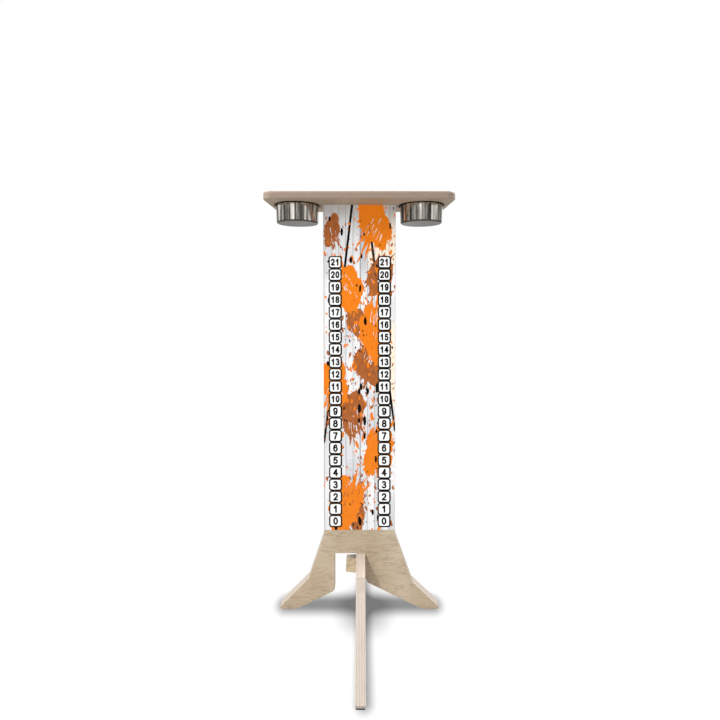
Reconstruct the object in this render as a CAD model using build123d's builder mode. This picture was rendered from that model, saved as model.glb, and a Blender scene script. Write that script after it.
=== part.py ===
from build123d import *
import os

# Score tower for a bag toss game, with two drop-in drink cups. Millimetres, +Z up.
# The origin is on the floor under the middle of the upright board. The front, with the
# score print, faces -Y, and +X is on the right of someone who reads the score.

# ---- driving dimensions ----
board = 19.0              # plywood of the upright and the cross leg
table_top_z = 914.0       # full height, 36 in
table_thick = 15.0
table_size = (391.0, 150.0)
table_corner = 20.0
table_top_round = 4.0     # rounding of the tabletop's upper and lower rim
table_under_round = 1.5
dado_depth = 4.0          # the upright's top edge is let into the tabletop

column_half = 79.0        # half the width of the upright
flare_z = 170.0           # where the column starts to flare into the side legs
knee_left = (113.0, 70.0)  # outer corner of a side leg, half width and height
knee_right = (117.5, 62.0)
side_tip = 177.5          # half the spread of the side legs
foot_flat_in = 140.0      # inner end of a side foot's flat underside
under_slope = 0.495       # rise of the legs' lower edges
tip_cut = 3.0             # how far a foot's flat underside stops short of its tip
tip_round = 2.5
knee_round = 9.0
flare_round = 25.0
arris = 0.6               # sanded rounding of the boards' sharp edges

notch_top = 127.0         # the upright stands on the cross leg at this height
window_left = -55.0       # left side of the window beside the cross leg
window_chamfer = 3.0
leg_x = 3.0               # middle plane of the cross leg, which stands right of centre
leadin = (6.0, 12.0)      # chamfer at the mouth of the slot, across and up

cross_flat = 75.0         # half length of the cross leg's level top edge
cross_knee = (84.0, 102.0)
cross_tip = 199.0
cross_tip_z = 8.0
cross_tip_cut = 1.8       # the same for the cross leg, whose pads show in front
cross_flat_in = 162.0
arch_top = 52.0           # underside of the cross leg at its middle

pad_thick = 2.5
pad_end_gap = 0.2         # bare wood at each end of a pad
pad_side_gap = 1.5        # and along each side

cup_x = 135.6             # cup centres, left and right of the middle
hole_radius = 50.5
flange_radius = 55.5
cup_radius_top = 46.5
cup_radius_base = 45.0
cup_depth = 55.0          # below the tabletop's upper face
cup_wall = 0.8
cup_base_round = 3.5
cup_neck_round = 1.8
flange_round = 0.35

print_thick = 0.3
print_bottom = 180.5

key_thick = 13.0
key_left = -31.4          # thin end, which shows in the window
key_right = 42.0          # wide end, behind the upright
key_left_z = (69.8, 99.0)
key_right_z = (59.9, 103.2)
key_end_slant = 1.5
key_corner = 1.0

dowel_radius = 4.0
dowel_length = 40.0
dowel_play = 0.05
dowel_end_gap = 0.5
dowel_end_chamfer = 1.0

screw_x = (-50.0, 0.0, 50.0)
screw_length = 50.0
screw_head_radius = 4.5
screw_shank_radius = 2.2
screw_core_radius = 1.5
screw_thread_start = 18.0
screw_tip = 4.0
screw_play = 0.05
recess_width = 1.1
recess_span = 4.6
recess_depth = 1.8
recess_taper = 12.0       # degrees
countersink = 90.0        # degrees
thread_runout = 1.0

# ---- derived places ----
table_under_z = table_top_z - table_thick
upright_top_z = table_under_z + dado_depth
front_y = -board / 2
back_y = board / 2
slot_right = leg_x + board / 2
slot_left = leg_x - board / 2
leadin_x = slot_right + leadin[0]
leadin_z = under_slope * (foot_flat_in - leadin_x)
window_foot_z = under_slope * (foot_flat_in + window_left)
side_tip_z = knee_left[1] - (side_tip - knee_left[0])


def key_height(x):
    """Lower and upper edge of the tapered key at a place along it."""
    along = (x - key_left) / (key_right - key_left)
    low = key_left_z[0] + along * (key_right_z[0] - key_left_z[0])
    high = key_left_z[1] + along * (key_right_z[1] - key_left_z[1])
    return low, high


# ---- upright board with the two side legs ----
with BuildPart() as upright_board:
    with BuildSketch(Plane.XZ.offset(-front_y)):
        with BuildLine():
            Polyline(
                (column_half, upright_top_z),
                (column_half, flare_z),
                knee_right,
                (side_tip, side_tip_z),
                (side_tip - tip_cut, 0),
                (foot_flat_in, 0),
                (leadin_x, leadin_z),
                (slot_right, leadin_z + leadin[1]),
                (slot_right, notch_top),
                (window_left, notch_top),
                (window_left, window_foot_z + window_chamfer),
                (window_left - window_chamfer, window_foot_z - window_chamfer * under_slope),
                (-foot_flat_in, 0),
                (tip_cut - side_tip, 0),
                (-side_tip, side_tip_z),
                (-knee_left[0], knee_left[1]),
                (-column_half, flare_z),
                (-column_half, upright_top_z),
                close=True,
            )
        make_face()
    extrude(amount=-board)
    for corner_x, corner_round in ((column_half, flare_round), (knee_left[0], knee_round),
                                   (knee_right[0], knee_round), (side_tip, tip_round)):
        corners = upright_board.edges().filter_by(Axis.Y).filter_by(
            lambda e: abs(abs(e.center().X) - corner_x) < 0.1 and e.center().Z < flare_z + 1)
        fillet(corners, corner_round)
    fillet(upright_board.faces().filter_by(Axis.Y).edges(), arris)
    with BuildSketch(Plane.XY.offset(notch_top)):
        with Locations((leg_x, 0)):
            Circle(dowel_radius + dowel_play)
    extrude(amount=dowel_length / 2, mode=Mode.SUBTRACT)
    with Locations(*[(x, 0, upright_top_z) for x in screw_x]):
        Cylinder(screw_shank_radius + screw_play, screw_length - table_thick + dado_depth,
                 align=(Align.CENTER, Align.CENTER, Align.MAX), mode=Mode.SUBTRACT)
upright_board.part.label = "upright_board"

# ---- cross leg: front and rear leg in one board ----
with BuildPart() as cross_leg:
    with BuildSketch(Plane.YZ.offset(slot_left)):
        with BuildLine():
            half = [
                (cross_flat, notch_top),
                cross_knee,
                (cross_tip, cross_tip_z),
                (cross_tip - cross_tip_cut, pad_thick),
                (cross_flat_in, pad_thick),
                (cross_flat_in - (arch_top - pad_thick) / under_slope, arch_top),
            ]
            Polyline(*half, *[(-y, z) for y, z in reversed(half)], close=True)
        make_face()
    extrude(amount=board)
    for corner_y, corner_round in ((cross_tip, tip_round), (cross_knee[0], knee_round)):
        corners = cross_leg.edges().filter_by(Axis.X).filter_by(
            lambda e: abs(abs(e.center().Y) - corner_y) < 0.1)
        fillet(corners, corner_round)
    fillet(cross_leg.faces().filter_by(Axis.X).edges(), arris)
    low_in, high_in = key_height(slot_left)
    low_out, high_out = key_height(slot_right)
    with BuildSketch(Plane.XZ.offset(-back_y)):
        with BuildLine():
            Polyline((slot_left, low_in), (slot_right, low_out), (slot_right, high_out),
                     (slot_left, high_in), close=True)
        make_face()
    extrude(amount=-key_thick, mode=Mode.SUBTRACT)
    with BuildSketch(Plane.XY.offset(notch_top)):
        with Locations((leg_x, 0)):
            Circle(dowel_radius + dowel_play)
    extrude(amount=-dowel_length / 2, mode=Mode.SUBTRACT)
cross_leg.part.label = "cross_leg"

# ---- tapered key that locks the cross leg behind the upright ----
with BuildPart() as lock_key:
    with BuildSketch(Plane.XZ.offset(-back_y)):
        with BuildLine():
            Polyline((key_left, key_left_z[0]), (key_right, key_right_z[0]),
                     (key_right, key_right_z[1]), (key_left + key_end_slant, key_left_z[1]),
                     close=True)
        make_face()
    extrude(amount=-key_thick)
    fillet(lock_key.edges().filter_by(Axis.Y), key_corner)
lock_key.part.label = "lock_key"

# ---- dowel between the cross leg and the upright ----
with BuildPart() as leg_dowel:
    with Locations((leg_x, 0, notch_top)):
        Cylinder(dowel_radius, dowel_length - 2 * dowel_end_gap)
    chamfer(leg_dowel.edges().filter_by(GeomType.CIRCLE), dowel_end_chamfer)
leg_dowel.part.label = "leg_dowel"

# ---- tabletop with two cup holes ----
with BuildPart() as tabletop:
    with BuildSketch(Plane.XY.offset(table_under_z)):
        RectangleRounded(*table_size, table_corner)
        with Locations((-cup_x, 0), (cup_x, 0)):
            Circle(hole_radius, mode=Mode.SUBTRACT)
    extrude(amount=table_thick)
    upper = tabletop.faces().sort_by(Axis.Z)[-1]
    fillet(upper.outer_wire().edges(), table_top_round)
    lower = tabletop.faces().sort_by(Axis.Z)[0]
    fillet(lower.outer_wire().edges(), table_under_round)
    with BuildSketch(Plane.XY.offset(table_under_z)):
        Rectangle(2 * column_half, board)
    extrude(amount=dado_depth, mode=Mode.SUBTRACT)
    with Locations(*[(x, 0, table_top_z) for x in screw_x]):
        CounterSinkHole(screw_shank_radius + screw_play, screw_head_radius,
                        depth=table_thick, counter_sink_angle=countersink)
tabletop.part.label = "tabletop"

# ---- score film on the front of the upright ----
with BuildPart() as score_print:
    with BuildSketch(Plane.XZ.offset(-front_y)):
        with Locations((0, (print_bottom + table_under_z) / 2)):
            Rectangle(2 * (column_half - arris), table_under_z - print_bottom)
    extrude(amount=print_thick)
score_print.part.label = "score_print"

# ---- rubber pads under the front and rear foot ----
pads = {}
for pad_name, side in (("foot_pad_front", -1), ("foot_pad_rear", 1)):
    with BuildPart() as pad:
        with BuildSketch(Plane.XY):
            pad_in = cross_flat_in + pad_end_gap
            pad_out = cross_tip - cross_tip_cut - pad_end_gap
            with Locations((leg_x, side * (pad_in + pad_out) / 2)):
                Rectangle(board - 2 * pad_side_gap, pad_out - pad_in)
        extrude(amount=pad_thick)
    pad.part.label = pad_name
    pads[pad_name] = pad.part

# ---- drop-in cups, turned from thin steel sheet ----
cups = {}
for cup_name, side in (("cup_left", -1), ("cup_right", 1)):
    with BuildPart() as cup:
        with BuildSketch(Plane.XZ):
            with BuildLine():
                seat = table_top_z
                lip = table_top_z + cup_wall
                floor_z = table_top_z - cup_depth
                Polyline(
                    (0, floor_z),
                    (cup_radius_base, floor_z),
                    (cup_radius_top, seat),
                    (flange_radius, seat),
                    (flange_radius, lip),
                    (cup_radius_top - cup_wall, lip),
                    (cup_radius_base - cup_wall, floor_z + cup_wall),
                    (0, floor_z + cup_wall),
                    close=True,
                )
            make_face()
            outside = [v for v in vertices() if abs(v.X - cup_radius_base) < 0.01]
            fillet(outside, cup_base_round)
            inside = [v for v in vertices() if abs(v.X - cup_radius_base + cup_wall) < 0.01
                      and v.Y < floor_z + 2]
            fillet(inside, cup_base_round - cup_wall)
            neck = [v for v in vertices() if abs(v.X - cup_radius_top + cup_wall) < 0.01]
            fillet(neck, cup_neck_round)
            fillet([v for v in vertices() if abs(v.X - flange_radius) < 0.01], flange_round)
        revolve(axis=Axis.Z)
    cup.part.label = cup_name
    cups[cup_name] = cup.part.moved(Location((side * cup_x, 0, 0)))
    cups[cup_name].label = cup_name

# ---- wood screws through the tabletop ----
with BuildPart() as tabletop_screws:
    with BuildSketch(Plane.XZ):
        with BuildLine():
            head_base = table_top_z - (screw_head_radius - screw_shank_radius)
            thread_z = table_top_z - screw_thread_start
            end_z = table_top_z - screw_length
            Polyline(
                (0, table_top_z),
                (screw_head_radius, table_top_z),
                (screw_shank_radius, head_base),
                (screw_shank_radius, thread_z),
                (screw_core_radius, thread_z - thread_runout),
                (screw_core_radius, end_z + screw_tip),
                (0, end_z),
                close=True,
            )
        make_face()
    revolve(axis=Axis.Z)
    with BuildSketch(Plane.XY.offset(table_top_z)):
        Rectangle(recess_span, recess_width)
        Rectangle(recess_width, recess_span)
    extrude(amount=-recess_depth, taper=recess_taper, mode=Mode.SUBTRACT)
one_screw = tabletop_screws.part
screws = Compound(label="tabletop_screws",
                  children=[one_screw.moved(Location((x, 0, 0))) for x in screw_x])

# ---- files ----
os.makedirs("parts", exist_ok=True)
for piece in (upright_board, cross_leg, lock_key, leg_dowel, tabletop, score_print):
    export_step(piece.part, f"parts/{piece.part.label}.step")
for name, solid in {**pads, **cups}.items():
    export_step(solid, f"parts/{name}.step")
export_step(screws, "parts/tabletop_screws.step")
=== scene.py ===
import math
import bpy
import bmesh
import numpy as np
from mathutils import Matrix, Vector


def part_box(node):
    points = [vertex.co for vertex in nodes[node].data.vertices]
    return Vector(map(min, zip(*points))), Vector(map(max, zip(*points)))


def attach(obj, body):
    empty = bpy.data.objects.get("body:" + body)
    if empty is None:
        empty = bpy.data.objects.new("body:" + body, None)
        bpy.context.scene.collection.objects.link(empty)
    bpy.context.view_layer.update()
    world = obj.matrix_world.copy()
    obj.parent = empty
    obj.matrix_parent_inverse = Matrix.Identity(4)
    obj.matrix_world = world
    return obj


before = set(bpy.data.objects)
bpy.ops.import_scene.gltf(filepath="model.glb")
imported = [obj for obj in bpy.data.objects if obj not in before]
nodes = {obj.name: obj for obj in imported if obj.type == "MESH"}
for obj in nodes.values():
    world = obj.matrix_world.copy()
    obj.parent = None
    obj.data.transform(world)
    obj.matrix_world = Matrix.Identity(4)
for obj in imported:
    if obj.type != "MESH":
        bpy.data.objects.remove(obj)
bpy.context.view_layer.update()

scene = bpy.context.scene
MM = 0.001


# ---------------------------------------------------------------- node helpers
class Shade:
    """Builds one material's node tree in short calls."""

    def __init__(self, name):
        self.material = bpy.data.materials.new(name)
        self.material.use_nodes = True
        self.tree = self.material.node_tree
        self.shader = self.tree.nodes["Principled BSDF"]

    def node(self, kind, **settings):
        made = self.tree.nodes.new(kind)
        for key, value in settings.items():
            setattr(made, key, value)
        return made

    def put(self, socket, value):
        """Sets a socket to a number or colour, or links an output to it."""
        if isinstance(value, bpy.types.NodeSocket):
            self.tree.links.new(value, socket)
        else:
            socket.default_value = value

    def math(self, operation, a, b=0.0, c=0.0):
        made = self.node("ShaderNodeMath", operation=operation)
        for socket, value in zip(made.inputs, (a, b, c)):
            self.put(socket, value)
        return made.outputs[0]

    def mix(self, factor, a, b, blend="MIX"):
        made = self.node("ShaderNodeMix", data_type="RGBA", blend_type=blend)
        self.put(made.inputs[0], factor)
        self.put(made.inputs[6], a)
        self.put(made.inputs[7], b)
        return made.outputs[2]

    def step(self, value, low, high, start=0.0, end=1.0):
        """Smooth step: start below low, end above high."""
        made = self.node("ShaderNodeMapRange", interpolation_type="SMOOTHSTEP")
        for socket, number in zip(made.inputs[:5], (value, low, high, start, end)):
            self.put(socket, number)
        return made.outputs[0]

    def where(self):
        """The object coordinates as a vector."""
        return self.node("ShaderNodeTexCoord").outputs["Object"]

    def split(self, vector):
        """A vector's three numbers."""
        made = self.node("ShaderNodeSeparateXYZ")
        self.put(made.inputs[0], vector)
        return made.outputs

    def scaled(self, vector, scale, shift=(0, 0, 0)):
        made = self.node("ShaderNodeMapping")
        self.put(made.inputs["Vector"], vector)
        made.inputs["Scale"].default_value = scale
        made.inputs["Location"].default_value = shift
        return made.outputs[0]

    def noise(self, vector, scale=1.0, detail=3.0, rough=0.5, warp=0.0):
        made = self.node("ShaderNodeTexNoise")
        self.put(made.inputs["Vector"], vector)
        made.inputs["Scale"].default_value = scale
        made.inputs["Detail"].default_value = detail
        made.inputs["Roughness"].default_value = rough
        made.inputs["Distortion"].default_value = warp
        return made.outputs[0]

    def bump(self, height, strength, distance):
        made = self.node("ShaderNodeBump")
        made.inputs["Strength"].default_value = strength
        made.inputs["Distance"].default_value = distance
        self.put(made.inputs["Height"], height)
        self.put(self.shader.inputs["Normal"], made.outputs[0])


def linear(red, green, blue):
    """A colour given as 0 to 255 screen values, in the linear values that shaders take."""
    def one(value):
        value = value / 255
        return value / 12.92 if value <= 0.04045 else ((value + 0.055) / 1.055) ** 2.4
    return (one(red), one(green), one(blue), 1.0)


def paint(node, material):
    """Gives a CAD node one material in all of its slots."""
    mesh = node.data
    if not mesh.materials:
        mesh.materials.append(material)
    for index in range(len(mesh.materials)):
        node.material_slots[index].material = material


# ---------------------------------------------------------------- wood
FACE_LIGHT = linear(204, 188, 164)
FACE_DARK = linear(186, 168, 142)
FACE_LINE = linear(150, 130, 106)
PLY_LONG = linear(196, 187, 178)
PLY_CROSS = linear(169, 156, 144)
GLUE = linear(134, 115, 99)


def plywood(name, thick_axis, start, ply, grain_axis, seed, tint=None, edge_tint=None,
            contrast=1.0, painted_light_heights=None):
    """Birch plywood. Veneer shows on the broad faces, across thick_axis, and plies on the cut
    edges. contrast is how much the plies differ from each other. Two heights may be given:
    between them the cut edge is painted paler, as painted light, and above them a little paler."""
    s = Shade(name)
    where = s.where()
    xyz = s.split(where)
    normal = s.split(s.node("ShaderNodeTexCoord").outputs["Normal"])
    facing = s.math("ABSOLUTE", normal[thick_axis])
    on_face = s.step(facing, 0.72, 0.92)

    # veneer: contour lines of a slow noise that is stretched along the grain, and fine fibres
    across = [a for a in range(3) if a not in (thick_axis, grain_axis)][0]
    slow = [0.0, 0.0, 0.0]
    slow[grain_axis], slow[across], slow[thick_axis] = 7.0, 30.0, 2.0
    fibre = [0.0, 0.0, 0.0]
    fibre[grain_axis], fibre[across], fibre[thick_axis] = 28.0, 620.0, 620.0
    slow_at = s.scaled(where, slow, (seed, seed * 0.7, seed * 0.3))
    field = s.noise(slow_at, 1.0, 4.0, 0.5, 0.3)
    rings = s.math("SINE", s.math("MULTIPLY", field, 84.0))
    rings = s.math("POWER", s.math("MULTIPLY_ADD", rings, 0.5, 0.5), 3.0)
    fine = s.noise(s.scaled(where, fibre, (seed, 0, seed)), 1.0, 3.0, 0.6)
    cloud = s.noise(s.scaled(where, (9, 9, 9), (0, seed, 0)), 1.0, 2.0, 0.5)
    veneer = s.mix(s.step(cloud, 0.3, 0.7), FACE_LIGHT, FACE_DARK)
    fleck = s.step(fine, 0.42, 0.72, 0.0, 0.5)
    veneer = s.mix(fleck, veneer, FACE_DARK)
    fade = s.step(s.noise(s.scaled(where, (14, 14, 14), (seed, 0, 0)), 1.0, 2.0), 0.3, 0.7,
                  0.15, 0.56)
    veneer = s.mix(s.math("MULTIPLY", rings, fade), veneer, FACE_LINE)

    # cut edge: plies one after the other through the board, with thin glue lines
    layer = s.math("DIVIDE", s.math("SUBTRACT", xyz[thick_axis], start), ply)
    parity = s.math("MODULO", s.math("FLOOR", layer), 2.0)
    within = s.math("FRACT", layer)
    to_glue = s.math("ABSOLUTE", s.math("SUBTRACT", within, 0.5))
    glue = s.step(to_glue, 0.42, 0.5, 0.0, 0.6 * contrast)
    run = [40.0, 40.0, 40.0]
    run[thick_axis] = 1100.0
    grit = s.noise(s.scaled(where, run, (0, 0, seed)), 1.0, 3.0, 0.65)
    edge = s.mix(s.math("MULTIPLY", parity, contrast), PLY_LONG, PLY_CROSS)
    edge = s.mix(s.step(grit, 0.45, 0.75, 0.0, 0.32 * contrast), edge, GLUE)
    edge = s.mix(glue, edge, GLUE)

    # painted light: the cut edge is made paler between the two heights and a little paler above them
    if painted_light_heights:
        painted_light = s.math("MULTIPLY", s.step(xyz[2], painted_light_heights[0] - 0.004, painted_light_heights[0] + 0.004),
                        s.step(xyz[2], painted_light_heights[1] - 0.002, painted_light_heights[1], 1.0, 0.4))
        edge = s.mix(painted_light, edge, (1.3, 1.3, 1.3, 1), "MULTIPLY")
    if tint:
        veneer = s.mix(1.0, veneer, tint, "MULTIPLY")
        edge = s.mix(1.0, edge, edge_tint, "MULTIPLY")
    colour = s.mix(on_face, edge, veneer)
    s.put(s.shader.inputs["Base Color"], colour)
    s.put(s.shader.inputs["Roughness"], s.step(fine, 0.2, 0.8, 0.46, 0.62))
    s.shader.inputs["Specular IOR Level"].default_value = 0.35
    relief = s.math("MULTIPLY_ADD", rings, -0.3, fine)
    relief = s.math("MULTIPLY_ADD", s.math("MULTIPLY", glue, s.math("SUBTRACT", 1.0, on_face)),
                    -0.8, relief)
    s.bump(relief, 0.25, 0.0004)
    return s.material


def board_start(name, axis):
    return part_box(name)[0][axis]


BOARD_PLIES = 13
KNEE_Z = 0.102            # height of the bend in the cross leg's upper edge
TABLE_PLIES = 11
low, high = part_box("cross_leg")
board_ply = (high.x - low.x) / BOARD_PLIES
low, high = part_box("tabletop")
table_ply = (high.z - low.z) / TABLE_PLIES

paint(nodes["upright_board"], plywood(
    "birch_upright", 1, board_start("upright_board", 1), board_ply, 0, 3.0,
    tint=(1, 1, 1, 1), edge_tint=(1.09, 1.07, 1.06, 1), contrast=0.7))
# the cross leg's cut edge is painted paler above the knee: painted light
paint(nodes["cross_leg"], plywood(
    "birch_cross_leg", 0, board_start("cross_leg", 0), board_ply, 1, 8.0,
    painted_light_heights=(KNEE_Z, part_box("cross_leg")[1].z - 0.0005)))
paint(nodes["tabletop"], plywood(
    "birch_tabletop", 2, board_start("tabletop", 2), table_ply, 0, 15.0,
    tint=linear(216, 211, 209), edge_tint=linear(214, 199, 190)))
paint(nodes["lock_key"], plywood(
    "birch_key", 1, board_start("lock_key", 1), board_ply, 0, 21.0,
    tint=(1.24, 1.24, 1.2, 1), edge_tint=(1, 1, 1, 1)))


def dowel_wood():
    s = Shade("beech_dowel")
    rays = s.noise(s.scaled(s.where(), (900, 900, 120)), 1.0, 3.0, 0.6)
    tone = s.mix(s.step(rays, 0.4, 0.7), linear(222, 190, 150), linear(188, 150, 108))
    s.put(s.shader.inputs["Base Color"], tone)
    s.put(s.shader.inputs["Roughness"], s.step(rays, 0.2, 0.8, 0.5, 0.65))
    s.bump(rays, 0.3, 0.0003)
    return s.material


paint(nodes["leg_dowel"], dowel_wood())


# ---------------------------------------------------------------- metal and rubber
SEAT_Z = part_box("tabletop")[1].z
UNDER_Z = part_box("tabletop")[0].z
BASE_WALL = 45.0 * MM     # radius of a cup's wall at its base, and at its rim
RIM_WALL = 46.5 * MM
FLANGE_IN = 47.5 * MM     # where the flat underside of the flange starts
SHADE_LINE = 1.3 * MM     # half of the painted shade line round a cup where it passes the tabletop
BEND_SHADE_HEIGHT = 3.2 * MM      # height of the painted dark reflection on the bend between a cup's wall and its base


def steel(name, middle, base_z):
    """Polished drawn steel, with soft streaks that run up the wall round the middle. The bend
    at the base has a painted dark reflection, the base is satin, and a painted shade line runs
    round the wall where it sits in the tabletop's hole, with painted shade on the flange's
    underside too."""
    s = Shade(name)
    where = s.where()
    xyz = s.split(where)
    off_x = s.math("SUBTRACT", xyz[0], middle)
    angle = s.math("ARCTAN2", xyz[1], off_x)
    ring = s.node("ShaderNodeCombineXYZ")
    s.put(ring.inputs[0], s.math("COSINE", angle))
    s.put(ring.inputs[1], s.math("SINE", angle))
    s.put(ring.inputs[2], s.math("MULTIPLY", xyz[2], 1.5))
    streak = s.noise(ring.outputs[0], 7.0, 3.0, 0.6)
    haze = s.noise(s.scaled(where, (260, 260, 260)), 1.0, 3.0, 0.6)
    tone = s.mix(s.step(streak, 0.36, 0.6), linear(122, 116, 108), linear(226, 222, 214))

    length = s.node("ShaderNodeVectorMath", operation="LENGTH")
    flat = s.node("ShaderNodeCombineXYZ")
    s.put(flat.inputs[0], off_x)
    s.put(flat.inputs[1], xyz[1])
    s.put(length.inputs[0], flat.outputs[0])
    radius = length.outputs["Value"]
    wall = s.step(xyz[2], base_z, SEAT_Z, BASE_WALL, RIM_WALL)
    outside = s.step(s.math("SUBTRACT", radius, wall), -0.0005, -0.0003)
    # painted shade: a dark line round the wall at the tabletop's underside, and on the flange's
    # underside
    from_line = s.math("ABSOLUTE", s.math("SUBTRACT", xyz[2], UNDER_Z))
    line = s.step(from_line, SHADE_LINE, SHADE_LINE + 0.0004, 1.0, 0.0)
    line = s.math("MULTIPLY", line, outside)
    flange_shade = s.math("MULTIPLY", s.step(xyz[2], SEAT_Z + 0.0001, SEAT_Z + 0.0003, 1.0, 0.0),
                    s.step(radius, FLANGE_IN - 0.0005, FLANGE_IN))
    dark = s.math("MAXIMUM", line, flange_shade)
    tone = s.mix(dark, tone, linear(30, 27, 25))

    under = s.step(xyz[2], base_z, base_z + 0.0004, 1.0, 0.0)
    turned = s.math("SINE", s.math("MULTIPLY", radius, 9000.0))
    satin = s.mix(s.step(turned, -1.0, 1.0), linear(124, 122, 116), linear(142, 139, 133))
    # painted dark reflection on the bend between the wall and the base
    bend_shade = s.math("MULTIPLY", s.step(xyz[2], base_z + BEND_SHADE_HEIGHT, base_z + BEND_SHADE_HEIGHT + 0.0008, 1.0, 0.0),
                  s.step(radius, BASE_WALL - 0.0028, BASE_WALL - 0.0018))
    tone = s.mix(bend_shade, tone, linear(104, 100, 94))
    tone = s.mix(under, tone, satin)
    s.put(s.shader.inputs["Base Color"], tone)
    s.shader.inputs["Metallic"].default_value = 1.0
    rough = s.step(haze, 0.3, 0.7, 0.07, 0.15)
    rough = s.math("MULTIPLY_ADD", under, 0.22, rough)
    s.put(s.shader.inputs["Roughness"], s.math("MULTIPLY_ADD", dark, 0.5, rough))
    return s.material


for cup in ("cup_left", "cup_right"):
    low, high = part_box(cup)
    paint(nodes[cup], steel("steel_" + cup, (low.x + high.x) / 2, low.z))


def zinc():
    s = Shade("zinc_screw")
    speck = s.noise(s.scaled(s.where(), (1400, 1400, 1400)), 1.0, 3.0, 0.6)
    tone = s.mix(s.step(speck, 0.35, 0.65), linear(196, 198, 200), linear(160, 163, 167))
    s.put(s.shader.inputs["Base Color"], tone)
    s.shader.inputs["Metallic"].default_value = 1.0
    s.put(s.shader.inputs["Roughness"], s.step(speck, 0.3, 0.7, 0.28, 0.42))
    s.bump(speck, 0.2, 0.0001)
    return s.material


def rubber():
    s = Shade("black_rubber")
    pores = s.noise(s.scaled(s.where(), (2200, 2200, 2200)), 1.0, 3.0, 0.6)
    tone = s.mix(s.step(pores, 0.3, 0.7), linear(3, 3, 3), linear(12, 12, 12))
    s.put(s.shader.inputs["Base Color"], tone)
    s.put(s.shader.inputs["Roughness"], s.step(pores, 0.3, 0.7, 0.7, 0.9))
    s.bump(pores, 0.4, 0.0002)
    return s.material


paint(nodes["tabletop_screws"], zinc())
black_rubber = rubber()
for pad in ("foot_pad_front", "foot_pad_rear"):
    paint(nodes[pad], black_rubber)


# ---------------------------------------------------------------- printed film
PLANK = 15.8 * MM
SEAM = 1.6 * MM


def film():
    """White beaded boards, printed: vertical seams, soft grey shading, a few tinted places, and a
    painted shadow of the tabletop along the top.
    """
    s = Shade("printed_film")
    where = s.where()
    xyz = s.split(where)
    plank = s.math("DIVIDE", s.math("SUBTRACT", xyz[0], SEAM), PLANK)
    number = s.math("FLOOR", plank)
    within = s.math("FRACT", plank)
    edge = s.math("MINIMUM", within, s.math("SUBTRACT", 1.0, within))
    middle_plank = s.step(s.math("ABSOLUTE", plank), 0.4, 0.6, 1.0, 0.45)
    seam = s.math("MULTIPLY", s.step(edge, 0.02, 0.075, 1.0, 0.0), middle_plank)
    bead = s.step(within, 0.0, 0.5, 0.16, 0.0)

    by_plank = s.node("ShaderNodeCombineXYZ")
    s.put(by_plank.inputs[0], s.math("MULTIPLY", number, 7.3))
    s.put(by_plank.inputs[1], s.math("MULTIPLY", xyz[2], 6.0))
    tone = s.noise(by_plank.outputs[0], 1.0, 2.0, 0.5)
    brush = s.noise(s.scaled(where, (900, 1, 22)), 1.0, 3.0, 0.6)
    base = s.mix(s.step(tone, 0.35, 0.65), linear(246, 246, 247), linear(214, 216, 220))
    base = s.mix(s.step(brush, 0.45, 0.8, 0.0, 0.35), base, linear(190, 192, 196))

    # a blue-grey board in the middle of the upper part, and a cream patch on the right
    blue = s.math("MULTIPLY", s.step(s.math("ABSOLUTE", s.math("SUBTRACT", plank, 0.45)),
                                     0.3, 0.6, 0.55, 0.0), s.step(xyz[2], 0.66, 0.86))
    base = s.mix(blue, base, linear(164, 173, 184))
    cream_up = s.math("MULTIPLY", s.step(xyz[2], 0.74, 0.79), s.step(xyz[2], 0.82, 0.89, 1.0, 0.35))
    cream_up = s.math("MULTIPLY", cream_up, s.step(xyz[0], 0.014, 0.024))
    cream_low = s.math("MULTIPLY", s.step(xyz[2], 0.44, 0.48), s.step(xyz[2], 0.62, 0.66, 1.0, 0.0))
    cream_low = s.math("MULTIPLY", cream_low, s.step(xyz[0], 0.064, 0.069))
    base = s.mix(s.math("MAXIMUM", cream_up, cream_low), base, linear(255, 240, 220))
    base = s.mix(bead, base, linear(170, 173, 178))
    base = s.mix(seam, base, linear(106, 110, 116))
    grain = s.noise(s.scaled(where, (700, 1, 700)), 1.0, 2.0, 0.7)
    base = s.mix(s.step(grain, 0.55, 0.8, 0.0, 0.3), base, linear(176, 178, 181))
    # painted shadow of the tabletop over the top of the print
    painted_top_shadow = s.step(xyz[2], 0.845, 0.897, 0.0, 0.66)
    base = s.mix(painted_top_shadow, base, linear(150, 145, 140))
    s.put(s.shader.inputs["Base Color"], base)
    sheen = s.noise(s.scaled(where, (400, 400, 400)), 1.0, 2.0, 0.5)
    s.put(s.shader.inputs["Roughness"], s.step(sheen, 0.3, 0.7, 0.36, 0.44))
    s.shader.inputs["Specular IOR Level"].default_value = 0.3
    return s.material


paint(nodes["score_print"], film())


def ink(name, light, dark, rough=0.4, gloss=0.2):
    """Printed ink: a near flat colour with the faint mottle of ink on vinyl."""
    s = Shade(name)
    mottle = s.noise(s.scaled(s.where(), (160, 160, 90)), 1.0, 3.0, 0.6)
    s.put(s.shader.inputs["Base Color"], s.mix(s.step(mottle, 0.3, 0.7), light, dark))
    s.put(s.shader.inputs["Roughness"], s.step(mottle, 0.3, 0.7, rough - 0.04, rough + 0.05))
    s.shader.inputs["Specular IOR Level"].default_value = gloss
    return s.material


ORANGE = ink("ink_orange", linear(240, 131, 20), linear(236, 123, 14))
BROWN = ink("ink_brown", linear(176, 102, 50), linear(160, 88, 40))
BLACK = ink("ink_black", linear(5, 5, 5), linear(11, 10, 10), gloss=0.08)
WHITE = ink("ink_white", linear(252, 252, 252), linear(244, 245, 246))

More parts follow.
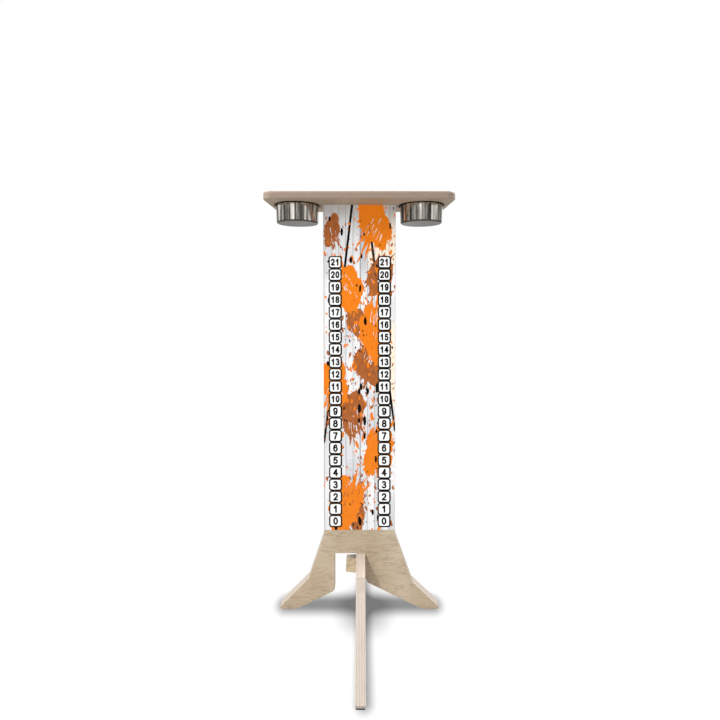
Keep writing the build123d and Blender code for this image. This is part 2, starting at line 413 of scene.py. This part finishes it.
# ---------------------------------------------------------------- splatter shapes
film_low, film_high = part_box("score_print")
GRID = 0.45               # mm between samples of a shape field
INSET = 0.05              # mm that ink stays inside the film's edge
X0, X1 = film_low.x / MM + INSET, film_high.x / MM - INSET
Z0, Z1 = film_low.z / MM + INSET, film_high.z / MM - INSET
columns = int(round((X1 - X0) / GRID)) + 1
rows = int(round((Z1 - Z0) / GRID)) + 1
grid_x = np.linspace(X0, X1, columns)
grid_z = np.linspace(Z0, Z1, rows)


def slow_noise(seed, cell_x, cell_z):
    """Smooth random values from -1 to 1 over the film, on cells of that size in mm."""
    random = np.random.default_rng(seed)
    nx = int((X1 - X0) / cell_x) + 3
    nz = int((Z1 - Z0) / cell_z) + 3
    values = random.uniform(-1, 1, (nz, nx))
    u = (grid_x - X0) / cell_x
    v = (grid_z - Z0) / cell_z
    iu, iv = u.astype(int), v.astype(int)
    fu, fv = u - iu, v - iv
    fu, fv = fu * fu * (3 - 2 * fu), fv * fv * (3 - 2 * fv)
    fu, fv = fu[None, :], fv[:, None]
    a, b = values[np.ix_(iv, iu)], values[np.ix_(iv, iu + 1)]
    c, d = values[np.ix_(iv + 1, iu)], values[np.ix_(iv + 1, iu + 1)]
    return (a * (1 - fu) + b * fu) * (1 - fv) + (c * (1 - fu) + d * fu) * fv


class Layer:
    """One ink colour as a field over a grid, in mm: inside a shape it is above zero."""

    def __init__(self, seed=0, wobble=0.0, xs=grid_x, zs=grid_z):
        self.xs, self.zs = xs, zs
        self.field = np.full((len(zs), len(xs)), -9.0)
        self.random = np.random.default_rng(seed)
        self.shift_x = self.shift_z = np.zeros_like(self.field)
        if wobble:
            self.shift_x = wobble * (slow_noise(seed + 1, 7, 14)
                                     + 0.6 * slow_noise(seed + 2, 2.6, 5))
            self.shift_z = 2 * wobble * (slow_noise(seed + 3, 7, 14)
                                         + 0.6 * slow_noise(seed + 4, 2.6, 5))

    def window(self, x, z, reach_x, reach_z):
        """The part of the grid round a place, and its samples' shifted coordinates."""
        i0, i1 = np.searchsorted(self.xs, (x - reach_x, x + reach_x))
        j0, j1 = np.searchsorted(self.zs, (z - reach_z, z + reach_z))
        area = (slice(j0, j1), slice(i0, i1))
        px = self.xs[None, i0:i1] + self.shift_x[area]
        pz = self.zs[j0:j1, None] + self.shift_z[area]
        return area, px, pz

    def add(self, area, value, cut=False):
        """Adds a shape's field to the layer, or cuts the shape out of it."""
        if cut:
            self.field[area] = np.minimum(self.field[area], -value)
        else:
            self.field[area] = np.maximum(self.field[area], value)

    def drop(self, x, z, rx, rz, spikes=0, reach=0.0, lean=0.0):
        """An oval drop. Spikes are pointed rays that leave it by up to reach times its size."""
        size = 1.4 + reach
        area, px, pz = self.window(x, z, rx * size + 4, rz * size + 8)
        if px.size == 0:
            return
        u = (px - x + lean * (pz - z)) / rx
        v = (pz - z) / rz
        radius = np.hypot(u, v)
        angle = np.arctan2(v, u)
        edge = np.ones_like(radius)
        for _ in range(spikes):
            at = self.random.uniform(-math.pi, math.pi)
            wide = self.random.uniform(0.05, 0.16)
            long = reach * self.random.uniform(0.25, 1.0)
            gap = np.abs((angle - at + math.pi) % (2 * math.pi) - math.pi)
            edge = edge + long * np.clip(1 - gap / wide, 0, 1) ** 1.5
        self.add(area, (edge - radius) * min(rx, rz))

    def stroke(self, points, widths, cut=False):
        """A tapered stroke through points, with a half width at each of them."""
        for (xa, za), (xb, zb), wa, wb in zip(points, points[1:], widths, widths[1:]):
            span = max(wa, wb) + 6
            area, px, pz = self.window((xa + xb) / 2, (za + zb) / 2,
                                       abs(xb - xa) / 2 + span, abs(zb - za) / 2 + span * 1.5)
            if px.size == 0:
                continue
            dx, dz = xb - xa, zb - za
            along = np.clip(((px - xa) * dx + (pz - za) * dz) / (dx * dx + dz * dz), 0, 1)
            gap = np.hypot(px - xa - along * dx, pz - za - along * dz)
            self.add(area, wa + along * (wb - wa) - gap, cut)

    def scatter(self, count, x, z, spread_x, spread_z, small, large):
        """Many drops round a place, most of them small."""
        for _ in range(count):
            at_x = self.random.normal(x, spread_x)
            at_z = self.random.normal(z, spread_z)
            size = small + (large - small) * self.random.uniform(0, 1) ** 3
            tall = size * self.random.uniform(1.2, 2.6)
            self.drop(at_x, at_z, size, tall, lean=self.random.uniform(-0.3, 0.3))

    def bare_streaks(self, count, start, end, wide, small, large):
        """Thin tapered streaks from start towards end that are cut out of the ink."""
        for _ in range(count):
            t = self.random.uniform(0, 0.8)
            x = start[0] + t * (end[0] - start[0]) + self.random.normal(0, wide)
            z = start[1] + t * (end[1] - start[1]) + self.random.normal(0, wide)
            part = self.random.uniform(0.12, 0.45)
            x2 = x + part * (end[0] - start[0])
            z2 = z + part * (end[1] - start[1])
            thick = self.random.uniform(small, large)
            self.stroke([(x, z), (x2, z2)], [thick, 0.2], cut=True)

    def outlines(self):
        """The closed outlines of the field's zero level, by marching squares, in mm."""
        f = np.pad(self.field, 1, constant_values=-1.0)
        xs = np.concatenate(([self.xs[0] - 1e-4], self.xs, [self.xs[-1] + 1e-4]))
        zs = np.concatenate(([self.zs[0] - 1e-4], self.zs, [self.zs[-1] + 1e-4]))
        f[np.abs(f) < 1e-6] = 1e-6
        inside = f > 0
        code = (inside[:-1, :-1] * 1 + inside[:-1, 1:] * 2
                + inside[1:, 1:] * 4 + inside[1:, :-1] * 8)
        turns = {1: "LB", 2: "BR", 3: "LR", 4: "RT", 6: "BT", 7: "LT", 8: "TL", 9: "TB",
                 11: "TR", 12: "RL", 13: "RB", 14: "BL", 5: "LTRB", 10: "BLTR"}
        follow = {}
        for j, i in zip(*np.nonzero((code > 0) & (code < 15))):
            sides = {"B": (0, j, i), "T": (0, j + 1, i), "L": (1, j, i), "R": (1, j, i + 1)}
            pairs = turns[int(code[j, i])]
            for k in range(0, len(pairs), 2):
                follow[sides[pairs[k]]] = sides[pairs[k + 1]]
        loops = []
        while follow:
            first, here = follow.popitem()
            loop = [first]
            while here != first:
                loop.append(here)
                here = follow.pop(here)
            points = []
            for across, j, i in loop:
                j2, i2 = (j + 1, i) if across else (j, i + 1)
                t = f[j, i] / (f[j, i] - f[j2, i2])
                points.append((xs[i] + t * (xs[i2] - xs[i]), zs[j] + t * (zs[j2] - zs[j])))
            loops.append(np.array(points))
        return loops


def thin(points, tolerance):
    """Drops points that lie on the line between their neighbours, every other one at a time."""
    for _ in range(4):
        if len(points) < 8:
            break
        before, after = np.roll(points, 1, 0), np.roll(points, -1, 0)
        chord = after - before
        length = np.hypot(chord[:, 0], chord[:, 1]) + 1e-9
        off = points - before
        away = np.abs(chord[:, 0] * off[:, 1] - chord[:, 1] * off[:, 0]) / length
        drop = away < tolerance
        drop[::2] = False
        points = points[~drop]
    return points


def area_of(points):
    x, z = points[:, 0], points[:, 1]
    return 0.5 * abs(np.dot(x, np.roll(z, -1)) - np.dot(z, np.roll(x, -1)))


FRONT = film_low.y


def sheet_from_outlines(name, loops, height, material):
    """A closed thin sheet of ink on the film, filled inside the outlines. height is in mm."""
    curve = bpy.data.curves.new(name, "CURVE")
    curve.dimensions = "2D"
    curve.fill_mode = "BOTH"
    curve.extrude = height * MM / 2
    for points in loops:
        if len(points) < 4 or area_of(points) < 0.12:
            continue
        spline = curve.splines.new("POLY")
        spline.points.add(len(points) - 1)
        flat = np.zeros((len(points), 4))
        flat[:, 0:2] = points * MM
        flat[:, 3] = 1
        spline.points.foreach_set("co", flat.ravel())
        spline.use_cyclic_u = True
    return to_piece(name, [curve], height, material)


def to_piece(name, curves, height, material, places=None):
    """Turns flat curves into one mesh piece on the film's front, which rides on the tower."""
    mesh = bpy.data.meshes.new(name)
    joined = bmesh.new()
    for index, curve in enumerate(curves):
        holder = bpy.data.objects.new(name + "_curve", curve)
        scene.collection.objects.link(holder)
        bpy.context.view_layer.update()
        made = bpy.data.meshes.new_from_object(
            holder.evaluated_get(bpy.context.evaluated_depsgraph_get()))
        if places:
            made.transform(Matrix.Translation(places[index]))
        joined.from_mesh(made)
        bpy.data.meshes.remove(made)
        bpy.data.objects.remove(holder)
    upright = Matrix.Translation((0, FRONT - height * MM / 2, 0)) @ Matrix.Rotation(
        math.radians(90), 4, "X")
    joined.transform(upright)
    bmesh.ops.remove_doubles(joined, verts=joined.verts, dist=1e-7)
    joined.to_mesh(mesh)
    joined.free()
    mesh.materials.clear()
    mesh.materials.append(material)
    piece = bpy.data.objects.new(name, mesh)
    scene.collection.objects.link(piece)
    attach(piece, "tower")
    return piece


# seeds of the three ink layers' random numbers
BROWN_SEED = 26
ORANGE_SEED = 44
BLACK_SEED = 65

# two plain slanted lines, under all the splashes
lines = Layer(11, 0.12)
lines.stroke([(-15.6, 902), (-77.5, 379)], [2.6, 2.2])
lines.stroke([(16.5, 902), (78, 404)], [2.6, 2.2])
sheet_from_outlines("guide_lines", [thin(p, 0.08) for p in lines.outlines()], 0.05, BLACK)

# Plain paint splatter. Every place, size and direction in it is drawn from the layer's own
# seeded numbers: the splashes are spread evenly up the board and swung to either side.
PAINT_LOW, PAINT_HIGH = 190.0, 890.0
PAINT_HALF = 62.0


def splash(layer, x, z, size):
    """One splash: a ragged blob with lobes, streaks that leave it, and drops round it."""
    draw = layer.random.uniform
    lean = draw(-0.35, 0.35)
    layer.drop(x, z, size, size * 1.6, 14, 0.35, lean=lean)
    for _ in range(5):
        turn = draw(-math.pi, math.pi)
        part = draw(0.35, 0.6)
        layer.drop(x + size * 0.8 * math.cos(turn), z + size * 1.4 * math.sin(turn),
                   size * part, size * part * 1.8, 7, 0.35, lean=lean)
    aim = draw(0.25, 0.75) * math.pi * (1 if draw(0, 1) < 0.5 else -1)
    for _ in range(7):
        turn = aim + draw(-0.5, 0.5)
        far = size * draw(1.6, 3.6)
        layer.stroke([(x, z), (x + far * 0.7 * math.cos(turn), z + far * math.sin(turn))],
                     [size * draw(0.12, 0.3), 0.5])
    layer.scatter(int(size * 2.4), x, z, size * 1.2, size * 2.2, 0.5, 2.8)
    end = (x + size * math.cos(aim), z + 2.2 * size * math.sin(aim))
    layer.bare_streaks(int(size * 0.5), (x, z), end, size * 0.35, 0.4, 1.4)


def splatter(layer, count, small, large):
    """Splashes at even heights, each swung to the other side from the one before."""
    side = 1 if layer.random.uniform(0, 1) < 0.5 else -1
    gap = (PAINT_HIGH - PAINT_LOW) / count
    for k in range(count):
        z = PAINT_LOW + gap * (k + layer.random.uniform(0.25, 0.75))
        side = -side
        splash(layer, side * layer.random.uniform(0.15, 1.0) * PAINT_HALF, z,
               layer.random.uniform(small, large))


brown = Layer(BROWN_SEED, 1.1)
splatter(brown, 7, 15, 26)
brown.scatter(420, 0, 430, 60, 200, 0.7, 3.3)
sheet_from_outlines("ink_brown_splash", [thin(p, 0.06) for p in brown.outlines()], 0.08, BROWN)

orange = Layer(ORANGE_SEED, 1.3)
splatter(orange, 6, 19, 32)
orange.scatter(320, 0, 500, 60, 240, 0.7, 3.3)
sheet_from_outlines("ink_orange_splash", [thin(p, 0.06) for p in orange.outlines()], 0.11, ORANGE)

drops = Layer(BLACK_SEED, 0.6)
for _ in range(34):
    drop_x = drops.random.uniform(-76, 76)
    drop_z = drops.random.uniform(PAINT_LOW, PAINT_HIGH)
    drop_size = drops.random.uniform(1.6, 3.8)
    drops.drop(drop_x, drop_z, drop_size, drop_size * drops.random.uniform(2.0, 3.2), 3, 0.35)
drops.scatter(300, 0, 430, 60, 220, 0.4, 1.7)
sheet_from_outlines("ink_black_drops", [thin(p, 0.05) for p in drops.outlines()], 0.13, BLACK)

# ---------------------------------------------------------------- score tiles
TILE_ROWS = 22            # 0 to 21
TILE_PITCH = 27.35
TILE_LOW = 200.6          # height of the 0 tile's middle
TILE_X = (-53.0, 54.5)
FRAME_SIZE = (29.0, 27.2)
FACE_SIZE = (22.8, 21.6)


def rounded(width, height, radius, x, z, turns=6):
    """A rounded rectangle as a closed outline, in mm."""
    points = []
    for quarter, (sx, sz) in enumerate(((1, 1), (-1, 1), (-1, -1), (1, -1))):
        for step in range(turns + 1):
            angle = math.radians(90) * (quarter + step / turns)
            points.append((x + sx * (width / 2 - radius) + radius * math.cos(angle),
                           z + sz * (height / 2 - radius) + radius * math.sin(angle)))
    return np.array(points)


tiles = [(x, TILE_LOW + TILE_PITCH * row, row) for x in TILE_X for row in range(TILE_ROWS)]
frames = [rounded(*FRAME_SIZE, 5.2, x + 0.2, z - 0.3) for x, z, row in tiles]
faces = [rounded(*FACE_SIZE, 3.4, x, z) for x, z, row in tiles]
sheet_from_outlines("tile_frames", frames, 0.15, BLACK)
sheet_from_outlines("tile_faces", faces, 0.18, WHITE)


def arc(x, z, rx, rz, start, end, turns=20):
    """Points on an ellipse from one angle to another, in degrees."""
    angles = np.radians(np.linspace(start, end, turns + 1))
    return [(x + rx * math.cos(a), z + rz * math.sin(a)) for a in angles]


# each digit's pen lines, in a box from -0.5 to 0.5 both ways
DIGITS = {
    "0": [arc(0, 0, 0.5, 0.5, 0, 360)],
    "1": [[(0.14, -0.5), (0.14, 0.5)], [(0.14, 0.46), (-0.34, 0.2)]],
    "2": [arc(0, 0.2, 0.48, 0.3, 168, -30) + [(-0.46, -0.48), (0.5, -0.48)]],
    "3": [arc(-0.04, 0.26, 0.44, 0.24, 150, -90), arc(-0.02, -0.23, 0.5, 0.27, 90, -155)],
    "4": [[(0.24, -0.5), (0.24, 0.5), (-0.52, -0.2), (0.56, -0.2)]],
    "5": [[(0.44, 0.48), (-0.3, 0.48), (-0.42, 0.04)] + arc(-0.01, -0.18, 0.48, 0.32, 128, -155)],
    "6": [arc(0, -0.19, 0.47, 0.31, 0, 360), arc(0.03, 0.0, 0.5, 0.5, 182, 42)],
    "7": [[(-0.48, 0.48), (0.48, 0.48), (0.08, -0.05), (-0.14, -0.5)]],
    "8": [arc(0, 0.26, 0.42, 0.24, 0, 360), arc(0, -0.23, 0.5, 0.27, 0, 360)],
    "9": [arc(0, 0.19, 0.47, 0.31, 0, 360), arc(-0.03, 0.0, 0.5, 0.5, 2, -138)],
}
DIGIT_GRID = 0.18         # mm
ONE_DIGIT = (10.8, 17.0, 1.8)     # outer width and height, half the line's width, in mm
TWO_DIGITS = (9.0, 15.6, 1.7)
DIGIT_STEP = 9.9          # from one digit's middle to the next


def digit_outlines(digit, size):
    pen = size[2]
    width, height = size[0] - 2 * pen, size[1] - 2 * pen
    drawn = Layer(xs=np.arange(-size[0], size[0], DIGIT_GRID),
                  zs=np.arange(-size[1], size[1], DIGIT_GRID))
    for line in DIGITS[digit]:
        drawn.stroke([(x * width, z * height) for x, z in line], [pen] * len(line))
    return [thin(p, 0.02) for p in drawn.outlines()]


digit_shapes = {(digit, size): digit_outlines(digit, size)
                for digit in DIGITS for size in (ONE_DIGIT, TWO_DIGITS)}
digit_loops = []
for x, z, row in tiles:
    number = str(row)
    size = ONE_DIGIT if len(number) == 1 else TWO_DIGITS
    for place, digit in enumerate(number):
        along = x + (place - (len(number) - 1) / 2) * DIGIT_STEP
        digit_loops += [loop + (along, z) for loop in digit_shapes[digit, size]]
sheet_from_outlines("score_digits", digit_loops, 0.21, BLACK)

# ---------------------------------------------------------------- stage, light, camera
FLOOR_HALF = 6.0
floor_mesh = bpy.data.meshes.new("floor")
floor_mesh.from_pydata([(-FLOOR_HALF, -FLOOR_HALF, 0), (FLOOR_HALF, -FLOOR_HALF, 0),
                        (FLOOR_HALF, FLOOR_HALF, 0), (-FLOOR_HALF, FLOOR_HALF, 0)],
                       [], [(0, 1, 2, 3)])
floor = bpy.data.objects.new("floor", floor_mesh)
floor.location.z = -0.0002
scene.collection.objects.link(floor)


IN_GLOSS = 0.55           # how bright the floor is in the cups, where the room's floor shows


def floor_paint():
    """Evenly bright white paper, with a painted soft shadow where the legs stand on it and
    cross over it.
    """
    s = Shade("white_floor")
    xyz = s.split(s.where())
    board_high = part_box("upright_board")[1]
    leg_low, leg_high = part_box("cross_leg")

    def near(x, y, run_x, run_y):
        """Distance from a line through (x, y) that runs that far both ways along x or y."""
        off_x = s.math("ABSOLUTE", s.math("SUBTRACT", xyz[0], x))
        off_y = s.math("ABSOLUTE", s.math("SUBTRACT", xyz[1], y))
        off_x = s.math("MAXIMUM", s.math("SUBTRACT", off_x, run_x), 0.0)
        off_y = s.math("MAXIMUM", s.math("SUBTRACT", off_y, run_y), 0.0)
        return s.math("SQRT", s.math("ADD", s.math("POWER", off_x, 2.0),
                                     s.math("POWER", off_y, 2.0)))

    leg_middle = (leg_low.x + leg_high.x) / 2
    # painted shadow under the upright, along the cross leg and round where they cross
    by_board = s.step(near(0.0, 0.003, board_high.x - 0.015, 0.0), 0.004, 0.040, 0.28, 1.0)
    by_leg = s.step(near(leg_middle + 0.006, 0.0, 0.0, leg_high.y - 0.012), 0.0, 0.027, 0.34, 1.0)
    by_middle = s.step(near(leg_middle + 0.008, -0.01, 0.0, 0.0), 0.01, 0.085, 0.45, 1.0)
    shade = s.math("MULTIPLY", s.math("MULTIPLY", by_board, by_leg), by_middle)
    shade = s.math("MAXIMUM", shade, 0.19)
    s.shader.inputs["Base Color"].default_value = (0, 0, 0, 1)
    s.shader.inputs["Specular IOR Level"].default_value = 0.0
    paths = s.node("ShaderNodeLightPath")
    in_gloss = s.math("MULTIPLY_ADD", paths.outputs["Is Glossy Ray"], IN_GLOSS - 1.0, 1.0)
    shade = s.math("MULTIPLY", shade, in_gloss)
    s.put(s.shader.inputs["Emission Color"], s.mix(shade, (0, 0, 0, 1), (1, 1, 1, 1)))
    s.shader.inputs["Emission Strength"].default_value = 1.03
    return s.material


floor_mesh.materials.append(floor_paint())


def leave_out(name, objects):
    """A light linking collection that takes in everything but these objects."""
    collection = bpy.data.collections.new(name)
    for o in objects:
        collection.objects.link(o)
    for entry in collection.collection_objects:
        entry.light_linking.link_state = "EXCLUDE"
    return collection


floor_unlit = leave_out("all_but_floor", [floor])
tabletop_clear = leave_out("all_but_tabletop", [nodes["tabletop"], nodes["cup_left"],
                                                nodes["cup_right"]])


def sun(name, direction, energy, spread, colour, blockers=None):
    data = bpy.data.lights.new(name, "SUN")
    data.energy = energy
    data.angle = math.radians(spread)
    data.color = colour
    light = bpy.data.objects.new(name, data)
    light.rotation_euler = Vector(direction).to_track_quat("-Z", "Y").to_euler()
    scene.collection.objects.link(light)
    light.light_linking.receiver_collection = floor_unlit
    if blockers:
        light.light_linking.blocker_collection = blockers


sun("key", (0.545, 1.0, -1.15), 1.09, 2.0, (1.0, 0.985, 0.96), tabletop_clear)
sun("key_soft", (0.3, 1.0, -0.9), 0.52, 24, (1.0, 0.985, 0.96))


def softbox(name, place, aim, size, energy):
    data = bpy.data.lights.new(name, "AREA")
    data.shape = "SQUARE"
    data.size = size
    data.energy = energy
    light = bpy.data.objects.new(name, data)
    light.location = place
    light.rotation_euler = (Vector(aim) - Vector(place)).to_track_quat("-Z", "Y").to_euler()
    scene.collection.objects.link(light)


softbox("left_box", (-1.2, -0.5, 2.0), (0, 0, 0.3), 1.2, 38)
softbox("right_box", (1.2, 0.6, 1.9), (0, 0, 0.2), 1.2, 46)

world = bpy.data.worlds.new("studio")
scene.world = world
world.use_nodes = True


def studio(tree):
    """White behind the object, an even dim fill, and a striped room in what is glossy."""
    def node(kind, **settings):
        made = tree.nodes.new(kind)
        for name, value in settings.items():
            setattr(made, name, value)
        return made

    def calc(operation, a, b=0.0, c=0.0):
        made = node("ShaderNodeMath", operation=operation)
        for socket, value in zip(made.inputs, (a, b, c)):
            if isinstance(value, bpy.types.NodeSocket):
                tree.links.new(value, socket)
            else:
                socket.default_value = value
        return made.outputs[0]

    out = tree.nodes["World Output"]
    fill = tree.nodes["Background"]
    fill.inputs["Color"].default_value = (1.0, 0.975, 0.94, 1)
    fill.inputs["Strength"].default_value = 0.22
    seen = node("ShaderNodeBackground")
    seen.inputs["Color"].default_value = (1, 1, 1, 1)
    stripes = node("ShaderNodeBackground")
    coords = node("ShaderNodeTexCoord")
    split = node("ShaderNodeSeparateXYZ")
    tree.links.new(coords.outputs["Generated"], split.inputs[0])
    around = calc("ARCTAN2", split.outputs[0], split.outputs[1])
    total = 0.5
    for rate, phase, size in ((4, 0.4, 0.5), (11, 1.7, 0.45), (23, 0.2, 0.3), (47, 2.4, 0.14)):
        wave = calc("SINE", calc("MULTIPLY_ADD", around, float(rate), phase))
        total = calc("MULTIPLY_ADD", wave, size, total)
    bright = calc("MULTIPLY_ADD", calc("MAXIMUM", total, 0.0), 1.02, 0.14)
    tree.links.new(bright, stripes.inputs["Strength"])
    paths = node("ShaderNodeLightPath")
    glossy = node("ShaderNodeMixShader")
    tree.links.new(paths.outputs["Is Glossy Ray"], glossy.inputs[0])
    tree.links.new(fill.outputs[0], glossy.inputs[1])
    tree.links.new(stripes.outputs[0], glossy.inputs[2])
    shown = node("ShaderNodeMixShader")
    tree.links.new(paths.outputs["Is Camera Ray"], shown.inputs[0])
    tree.links.new(glossy.outputs[0], shown.inputs[1])
    tree.links.new(seen.outputs[0], shown.inputs[2])
    tree.links.new(shown.outputs[0], out.inputs["Surface"])


studio(world.node_tree)
scene.view_settings.view_transform = "Standard"

camera_data = bpy.data.cameras.new("camera")
camera_data.lens = 17.9
camera_data.sensor_width = 36.0
camera_data.shift_x = -0.003
camera_data.shift_y = -0.1
camera_data.dof.use_dof = False
camera = bpy.data.objects.new("camera", camera_data)
scene.collection.objects.link(camera)
camera.location = (0.006, -0.7915, 0.739)
camera.rotation_euler = (math.radians(90 - 1.5), 0, 0)
scene.camera = camera
